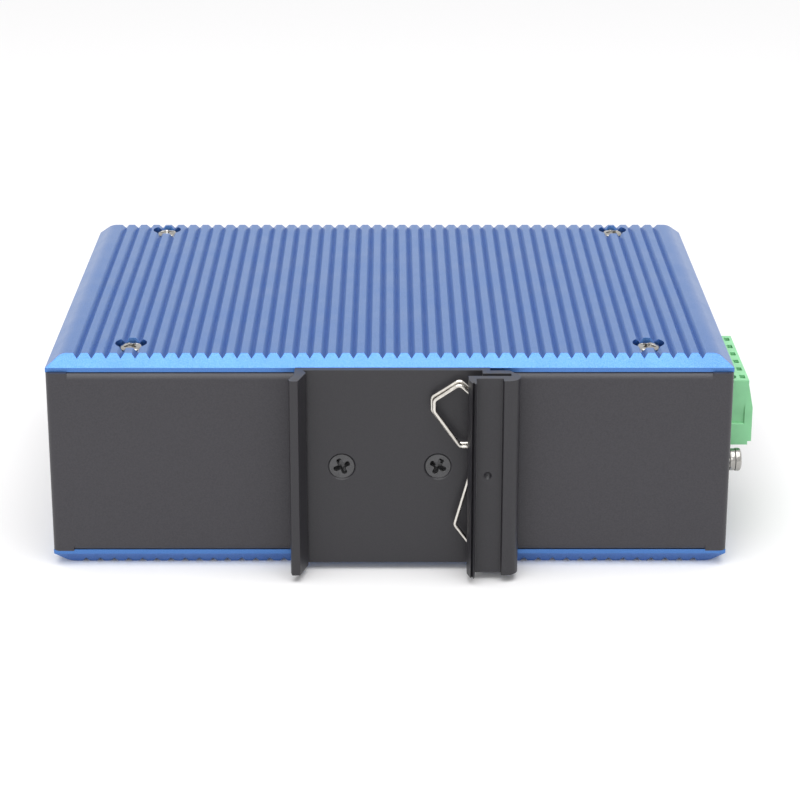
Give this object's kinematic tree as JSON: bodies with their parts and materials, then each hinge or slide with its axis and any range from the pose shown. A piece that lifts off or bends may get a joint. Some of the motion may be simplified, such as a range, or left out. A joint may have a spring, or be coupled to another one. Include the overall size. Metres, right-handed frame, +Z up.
{
  "type": "DIN rail ethernet switch",
  "caption": "Slim metal-cased network switch with ribbed blue side plates, a black steel body, a rail bracket with a wire spring and a green power plug.",
  "frame": {"origin": "middle of the face that the switch lies on, on the lower ribbed side plate", "axes": "+X along the housing's height towards the end with the power plug, +Y from the rail bracket to the port panel, +Z up through its width"},
  "size_m": [0.1485, 0.1146, 0.0466],
  "materials": {
    "blue_anodised": "satin blue anodising over extruded ribs",
    "black_painted_steel": "fine-grained matt black paint",
    "black_anodised": "satin black anodising",
    "nickel_steel": "bright nickel plate",
    "black_steel": "satin black zinc",
    "spring_wire": "bright drawn spring wire",
    "green_plastic": "satin moulded terminal green",
    "tinned_pins": "tin plate",
    "zinc_steel": "bright zinc",
    "circuit_board": "green solder mask",
    "black_plastic": "moulded black plastic",
    "brass_pillar": "turned brass",
    "light_lens": "milky light pipe",
    "soft_pad": "soft thermal pad",
    "plain_aluminium": "milled",
    "ferrite": "pressed ferrite",
    "capacitor_can": "sleeved can",
    "relay_case": "moulded case",
    "tinned_shield": "tinned sheet",
    "gold_contact": "gold flash"
  },
  "bodies": {
    "root": {"alarm_relay": "relay_case", "board_screws": "nickel_steel", "board_standoffs": "brass_pillar", "din_bracket_screws": "black_steel", "din_rail_bracket": "black_anodised", "din_wire_spring": "spring_wire", "front_panel": "black_painted_steel", "ground_screw": "nickel_steel", "ground_spring_washer": "nickel_steel", "ground_star_washer": "nickel_steel", "heat_block": "plain_aluminium", "jack_1_contacts": "gold_contact", "jack_1_insert": "black_plastic", "jack_1_shield": "tinned_shield", "jack_2_contacts": "gold_contact", "jack_2_insert": "black_plastic", "jack_2_shield": "tinned_shield", "jack_3_contacts": "gold_contact", "jack_3_insert": "black_plastic", "jack_3_shield": "tinned_shield", "jack_4_contacts": "gold_contact", "jack_4_insert": "black_plastic", "jack_4_shield": "tinned_shield", "lower_plate_screws": "nickel_steel", "lower_side_plate": "blue_anodised", "main_board": "circuit_board", "module_cage_1": "tinned_shield", "module_cage_2": "tinned_shield", "module_socket_1": "black_plastic", "module_socket_2": "black_plastic", "port_transformers": "black_plastic", "power_board": "circuit_board", "power_board_link": "black_plastic", "power_converter": "black_plastic", "power_inductor": "ferrite", "rear_chassis": "black_painted_steel", "smoothing_capacitors": "capacitor_can", "status_light_block": "black_plastic", "status_lights": "light_lens", "switch_chip": "black_plastic", "terminal_clamp_screws": "zinc_steel", "terminal_header": "green_plastic", "terminal_header_pins": "tinned_pins", "terminal_plug": "green_plastic", "terminal_wire_cages": "zinc_steel", "thermal_pad": "soft_pad", "upper_plate_screws": "nickel_steel", "upper_side_plate": "blue_anodised"}
  },
  "joints": []
}
